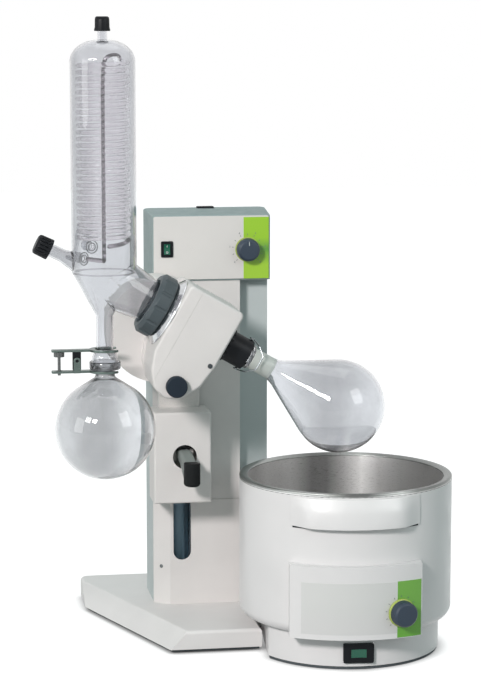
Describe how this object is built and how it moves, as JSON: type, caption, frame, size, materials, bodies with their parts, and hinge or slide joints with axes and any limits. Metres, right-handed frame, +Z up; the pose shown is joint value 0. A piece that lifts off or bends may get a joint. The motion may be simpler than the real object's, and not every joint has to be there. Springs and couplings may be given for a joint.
{
  "type": "rotary evaporator",
  "caption": "Benchtop rotary evaporator: vertical coil condenser, tilting drive head on a lift stand, pear flask, receiving flask and a round heating bath.",
  "frame": {"origin": "on the bench, under the middle of the lift slot, in the plane of the stand's front cover; it is the middle of the stand's centre foot pad", "axes": "+X to the right along the stand's front, +Y to the back, +Z up"},
  "size_m": [0.5598, 0.4823, 0.8409],
  "materials": {
    "housing_paint": "smooth warm grey-white coat",
    "bath_enamel": "smooth white coat",
    "dark_paint": "matt dark coat",
    "steel_sheet": "zinc-plated sheet",
    "bright_steel": "satin stainless steel",
    "chrome": "polished",
    "cast_aluminium": "as machined",
    "panel_plastic": "smooth moulded",
    "black_plastic": "fine matt grain",
    "slate_plastic": "fine matt grain",
    "green_rocker": "glossy",
    "white_plastic": "glossy",
    "rubber": "matt",
    "seal": "smooth",
    "bronze": "machined",
    "board": "printed board",
    "glass": "clear borosilicate"
  },
  "bodies": {
    "stand": {"base_plate": "housing_paint", "base_underside": "dark_paint", "base_feet": "rubber", "column_shell": "housing_paint", "front_cover_upper": "housing_paint", "front_cover_lower": "housing_paint", "rear_cover": "dark_paint", "mains_inlet": "black_plastic", "guide_channel": "steel_sheet", "guide_rods": "bright_steel", "gas_spring_cylinder": "dark_paint", "console_housing": "housing_paint", "control_panel": "panel_plastic", "top_plug": "black_plastic", "switch_frame": "black_plastic", "control_board": "board"},
    "speed_dial": {"speed_knob": "slate_plastic"},
    "power_switch": {"power_rocker": "green_rocker"},
    "carriage": {"carriage_bracket": "housing_paint", "carriage_cover": "housing_paint", "slide_block": "cast_aluminium", "gas_spring_rod": "bright_steel"},
    "lift_lever": {"lever_arm": "housing_paint", "lever_grip": "black_plastic"},
    "head": {"head_housing": "housing_paint", "front_bezel": "housing_paint", "rear_housing": "housing_paint", "drive_motor": "dark_paint", "shaft_bearings": "bright_steel", "flange_ring": "chrome", "shaft_seal": "seal", "condenser_body": "glass", "condenser_coil": "glass", "clamp_jaw_upper": "bright_steel", "clamp_block": "black_plastic"},
    "worm": {"motor_worm": "bright_steel"},
    "tilt_lock": {"tilt_knob": "slate_plastic"},
    "rotor": {"drive_shaft": "bright_steel", "worm_wheel": "bronze", "vapor_tube": "glass", "evaporating_flask": "glass"},
    "clip": {"clip_nut": "black_plastic"},
    "bail": {"flask_bail": "bright_steel"},
    "glass_nut": {"union_nut": "slate_plastic"},
    "upper_cap": {"top_cap": "slate_plastic"},
    "port_cap": {"side_cap": "slate_plastic"},
    "receiver": {"receiving_flask": "glass"},
    "lower_jaw": {"clamp_jaw_lower": "bright_steel"},
    "jaw_screw": {"clamp_screw": "bright_steel"},
    "bath": {"bath_shell": "bath_enamel", "bath_pot": "bright_steel", "bath_heater": "bright_steel", "bath_foot": "bath_enamel", "bath_gasket": "rubber", "bath_inlet": "black_plastic", "bath_console": "bath_enamel", "bath_switch_frame": "black_plastic", "bath_handles": "bath_enamel"},
    "bath_dial": {"bath_knob": "slate_plastic"},
    "bath_switch": {"bath_rocker": "green_rocker"}
  },
  "joints": [
    {"name": "lift", "type": "slide", "parent": "stand", "child": "carriage", "axis": [0, 0, 1], "range_m": [-0.075, 0.055]},
    {"name": "head_tilt", "type": "hinge", "parent": "carriage", "child": "head", "pos_m": [-0.04, -0.129, 0.426], "axis": [0, 1, 0], "range_deg": [-5, 10]},
    {"name": "flask_rotation", "type": "hinge", "parent": "head", "child": "rotor", "pos_m": [0, -0.129, 0.4377], "axis": [0.866, 0, -0.5], "continuous": true},
    {"name": "worm_rotation", "type": "hinge", "parent": "head", "child": "worm", "pos_m": [-0.04, -0.1, 0.426], "axis": [0, 1, 0], "continuous": true},
    {"name": "lever_lift", "type": "hinge", "parent": "carriage", "child": "lift_lever", "pos_m": [-0.004, -0.036, 0.25], "axis": [-1, 0, 0], "range_deg": [0, 8]},
    {"name": "tilt_lock_turn", "type": "hinge", "parent": "head", "child": "tilt_lock", "pos_m": [-0.0305, -0.18, 0.3665], "axis": [0, -1, 0], "range_deg": [0, 180]},
    {"name": "clip_turn", "type": "hinge", "parent": "rotor", "child": "clip", "pos_m": [0.05196, -0.129, 0.4077], "axis": [0.866, 0, -0.5], "range_deg": [0, 90]},
    {"name": "bail_swing", "type": "hinge", "parent": "clip", "child": "bail", "pos_m": [0.06582, -0.129, 0.3997], "axis": [-0.5, 0, -0.866], "range_deg": [0, 75]},
    {"name": "nut_turn", "type": "hinge", "parent": "head", "child": "glass_nut", "pos_m": [-0.05196, -0.129, 0.4677], "axis": [0.866, 0, -0.5], "range_deg": [0, 270]},
    {"name": "top_cap_turn", "type": "hinge", "parent": "head", "child": "upper_cap", "pos_m": [-0.118, -0.129, 0.83], "axis": [0, 0, 1], "range_deg": [0, 360]},
    {"name": "side_cap_turn", "type": "hinge", "parent": "head", "child": "port_cap", "pos_m": [-0.20069, -0.129, 0.54783], "axis": [-0.8988, 0, 0.4384], "range_deg": [0, 360]},
    {"name": "receiver_turn", "type": "hinge", "parent": "head", "child": "receiver", "pos_m": [-0.118, -0.129, 0.396], "axis": [0, 0, 1], "continuous": true},
    {"name": "jaw_swing", "type": "hinge", "parent": "head", "child": "lower_jaw", "pos_m": [-0.155, -0.129, 0.39615], "axis": [0, 1, 0], "range_deg": [0, 6]},
    {"name": "jaw_screw_turn", "type": "hinge", "parent": "head", "child": "jaw_screw", "pos_m": [-0.178, -0.129, 0.4], "axis": [0, 0, 1], "range_deg": [0, 360]},
    {"name": "speed_dial_turn", "type": "hinge", "parent": "stand", "child": "speed_dial", "pos_m": [0.0906, -0.01, 0.524], "axis": [0, -1, 0], "range_deg": [0, 300]},
    {"name": "power_switch_rock", "type": "hinge", "parent": "stand", "child": "power_switch", "pos_m": [-0.0199, -0.004, 0.5258], "axis": [1, 0, 0], "range_deg": [-7, 7]},
    {"name": "bath_place", "type": "slide", "parent": "stand", "child": "bath", "axis": [1, 0, 0], "range_m": [0, 0.02]},
    {"name": "bath_dial_turn", "type": "hinge", "parent": "bath", "child": "bath_dial", "pos_m": [0.24776, -0.2761, 0.08], "axis": [0.2346, -0.9721, 0], "range_deg": [0, 300]},
    {"name": "bath_switch_rock", "type": "hinge", "parent": "bath", "child": "bath_switch", "pos_m": [0.19679, -0.2552, 0.022], "axis": [0, 0, 1], "range_deg": [-6, 6]}
  ],
  "couplings": [
    {"joint": "worm_rotation", "follows": "flask_rotation", "ratio": 9}
  ]
}
